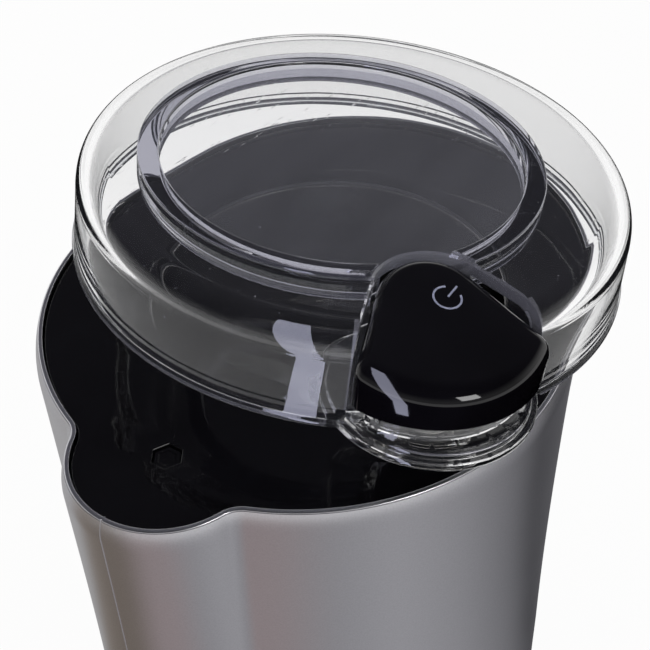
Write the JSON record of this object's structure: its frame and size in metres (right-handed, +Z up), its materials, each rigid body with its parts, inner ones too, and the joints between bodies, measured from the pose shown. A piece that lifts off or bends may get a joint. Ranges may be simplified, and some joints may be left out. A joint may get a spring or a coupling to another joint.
{
  "type": "electric spice grinder",
  "caption": "Electric spice grinder: steel body with one lobe, black deck, clear lid with a press button, steel bowl, blade, motor and switch train.",
  "frame": {"origin": "at the table, on the axis of the round body and of the closed lid, in the middle of the label pad under the base; the spindle stands 8 mm further back", "axes": "+Z up, the lobe of the body points to -Y, +X to the right seen from the lobe"},
  "size_m": [0.1034, 0.1228, 0.1861],
  "materials": {
    "steel_sleeve": "satin wrapped stainless sheet",
    "gloss_black": "polished black moulded plastic",
    "satin_black": "satin black moulded plastic",
    "dark_frame": "dark grey moulded plastic",
    "clear_lid": "clear moulded plastic",
    "clear_silicone": "milky silicone",
    "bowl_steel": "polished stainless steel",
    "blade_steel": "ground stainless steel",
    "shaft_steel": "turned steel",
    "spring_steel": "drawn spring wire",
    "screw_steel": "zinc plated steel",
    "bracket_zinc": "plated pressed bracket",
    "laminations": "stacked electrical steel",
    "copper_wire": "enamelled copper wire",
    "commutator_copper": "turned copper bars",
    "bronze": "sintered bronze",
    "carbon": "pressed carbon",
    "soft_rubber": "black rubber",
    "grey_rubber": "grey silicone",
    "fan_nylon": "natural nylon",
    "phenolic": "brown phenolic",
    "terminal_nylon": "ivory nylon",
    "fuse_body": "ceramic cream",
    "lead_insulation": "red insulated wire"
  },
  "bodies": {
    "base": {"body_shell": "steel_sleeve", "plinth": "satin_black", "base_cover": "satin_black", "base_screws": "screw_steel", "rubber_feet": "soft_rubber", "gland_seat": "satin_black", "cable_gland": "soft_rubber", "inner_housing": "dark_frame", "deck": "gloss_black", "bowl_gasket": "grey_rubber", "grinding_bowl": "bowl_steel", "shaft_seal": "soft_rubber", "upper_bracket": "bracket_zinc", "lower_bracket": "bracket_zinc", "upper_bearing": "bronze", "lower_bearing": "bronze", "motor_dampers": "soft_rubber", "motor_screws": "screw_steel", "stator_core": "laminations", "field_coils": "copper_wire", "brush_holders": "phenolic", "carbon_brushes": "carbon", "brush_springs": "spring_steel", "plunger_guide": "dark_frame", "plunger_spring": "spring_steel", "microswitch": "satin_black", "switch_bracket": "dark_frame", "terminal_block": "terminal_nylon", "thermal_fuse": "fuse_body", "internal_leads": "lead_insulation"},
    "plunger": {"switch_plunger": "gloss_black"},
    "lever": {"switch_lever": "spring_steel"},
    "rotor": {"motor_shaft": "shaft_steel", "armature_core": "laminations", "armature_winding": "copper_wire", "commutator": "commutator_copper", "cooling_fan": "fan_nylon", "blade_hub": "shaft_steel", "blade": "blade_steel", "blade_nut": "shaft_steel"},
    "lid_ring": {"lid_seal": "clear_silicone"},
    "lid": {"lid_shell": "clear_lid", "button_spring": "spring_steel"},
    "button": {"button_cap": "gloss_black", "button_pusher": "satin_black"}
  },
  "joints": [
    {"name": "blade_spin", "type": "hinge", "parent": "base", "child": "rotor", "pos_m": [0, 0.008, 0.12], "axis": [0, 0, 1], "continuous": true},
    {"name": "plunger_press", "type": "slide", "parent": "base", "child": "plunger", "axis": [0, 0, 1], "range_m": [-0.0023, 0], "stiffness_N_per_m": 600, "springref_m": 0.0005, "deforming": ["plunger_spring"]},
    {"name": "lever_swing", "type": "hinge", "parent": "base", "child": "lever", "pos_m": [-0.0095, -0.0413, 0.1253], "axis": [0, 1, 0], "range_deg": [0, 13.3]},
    {"name": "lid_tip", "type": "hinge", "parent": "base", "child": "lid_ring", "pos_m": [0.0485, 0.084, 0.0833], "axis": [-0.866, 0.5, 0], "range_deg": [-7, 35]},
    {"name": "lid_turn", "type": "hinge", "parent": "lid_ring", "child": "lid", "pos_m": [0.00457, 0.00791, 0.16361], "axis": [0.0609, 0.1055, 0.9925], "range_deg": [-49, 41]},
    {"name": "button_press", "type": "slide", "parent": "lid", "child": "button", "axis": [0.0609, 0.1055, 0.9925], "range_m": [-0.0035, 0], "stiffness_N_per_m": 500, "springref_m": 0.001, "deforming": ["button_spring"]}
  ],
  "couplings": [
    {"joint": "lever_swing", "follows": "plunger_press", "rad_per_m": -100}
  ]
}
